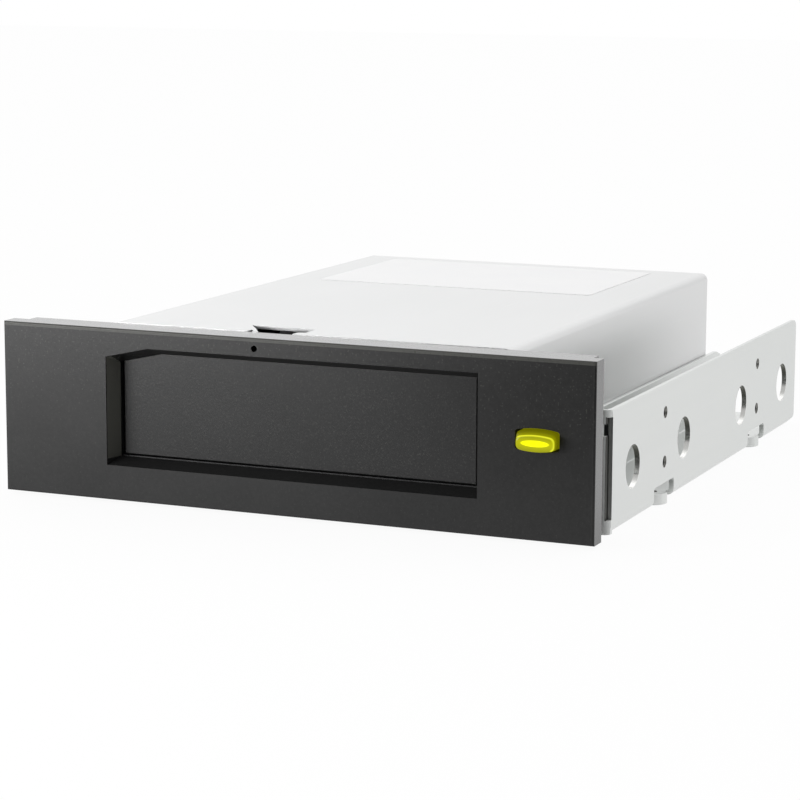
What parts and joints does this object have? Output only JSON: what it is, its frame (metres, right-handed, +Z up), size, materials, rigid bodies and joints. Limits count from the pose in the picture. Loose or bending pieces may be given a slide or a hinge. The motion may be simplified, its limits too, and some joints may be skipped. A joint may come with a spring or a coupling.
{
  "type": "internal removable disk drive",
  "caption": "Half-height bay dock for removable disk cartridges: moulded front with inward-swinging door and lit eject button, sheet-metal body and side brackets.",
  "frame": {"origin": "centre of the four bottom screw holes, in the plane of the bosses they are tapped in", "axes": "+X to the right seen from the front, +Y to the rear, +Z up"},
  "size_m": [0.1484, 0.1741, 0.0416],
  "materials": {
    "bezel_plastic": "fine sparked texture",
    "door_plastic": "satin",
    "guide_plastic": "moulded",
    "button_lens": "translucent",
    "switch_black": "moulded",
    "circuit_board": "solder mask",
    "lamp": "diffuse epoxy",
    "galvanised_sheet": "galvanised, even grey",
    "bracket_sheet": "galvanised, satin",
    "steel_rod": "bright",
    "label_stock": "plain white, blank",
    "gear_plastic": "acetal",
    "brass_gear": "turned",
    "motor_can": "plated",
    "chip_black": "moulded epoxy",
    "connector_plastic": "moulded",
    "contact_gold": "gold flash"
  },
  "bodies": {
    "drive": {"bezel": "bezel_plastic", "door_hinge_pin": "steel_rod", "door_spring": "steel_rod", "tact_switch": "switch_black", "button_board": "circuit_board", "status_led": "lamp", "top_cover": "galvanised_sheet", "blank_label": "label_stock", "bottom_tray": "galvanised_sheet", "right_bracket": "bracket_sheet", "left_bracket": "bracket_sheet", "bracket_screws": "steel_rod", "cartridge_guide": "guide_plastic", "gear_axle": "steel_rod", "eject_motor": "motor_can", "gear_bracket": "guide_plastic", "release_spring": "steel_rod", "main_board": "circuit_board", "board_components": "chip_black", "board_screws": "steel_rod", "dock_board": "circuit_board", "dock_connector": "connector_plastic", "rear_connector": "connector_plastic", "connector_contacts": "contact_gold"},
    "door_flap": {"door": "door_plastic"},
    "button": {"eject_button": "button_lens", "switch_plunger": "switch_black"},
    "ejector": {"ejector_slide": "galvanised_sheet"},
    "gear": {"eject_gear": "gear_plastic"},
    "rotor": {"motor_pinion": "brass_gear"},
    "release": {"release_slide": "guide_plastic"}
  },
  "joints": [
    {"name": "door_hinge", "type": "hinge", "parent": "drive", "child": "door_flap", "pos_m": [0, -0.0865, 0.0374], "axis": [1, 0, 0], "range_deg": [0, 90], "stiffness_Nm_per_rad": 0.003, "springref_deg": -28.65, "deforming": ["door_spring"]},
    {"name": "button_press", "type": "slide", "parent": "drive", "child": "button", "axis": [0, 1, 0], "range_m": [0, 0.0012], "stiffness_N_per_m": 400, "springref_m": -0.0005},
    {"name": "ejector_travel", "type": "slide", "parent": "drive", "child": "ejector", "axis": [0, -1, 0], "range_m": [0, 0.01]},
    {"name": "gear_spin", "type": "hinge", "parent": "drive", "child": "gear", "pos_m": [-0.0219, 0.049, 0.0105], "axis": [0, 0, 1], "continuous": true},
    {"name": "motor_spin", "type": "hinge", "parent": "drive", "child": "rotor", "pos_m": [-0.01099, 0.0553, 0.0105], "axis": [0, 0, 1], "continuous": true},
    {"name": "release_push", "type": "slide", "parent": "drive", "child": "release", "axis": [0, 1, 0], "range_m": [0, 0.004], "stiffness_N_per_m": 120, "springref_m": -0.002, "deforming": ["release_spring"]}
  ],
  "couplings": [
    {"joint": "gear_spin", "follows": "ejector_travel", "rad_per_m": 277.78},
    {"joint": "motor_spin", "follows": "ejector_travel", "rad_per_m": -694.44}
  ]
}
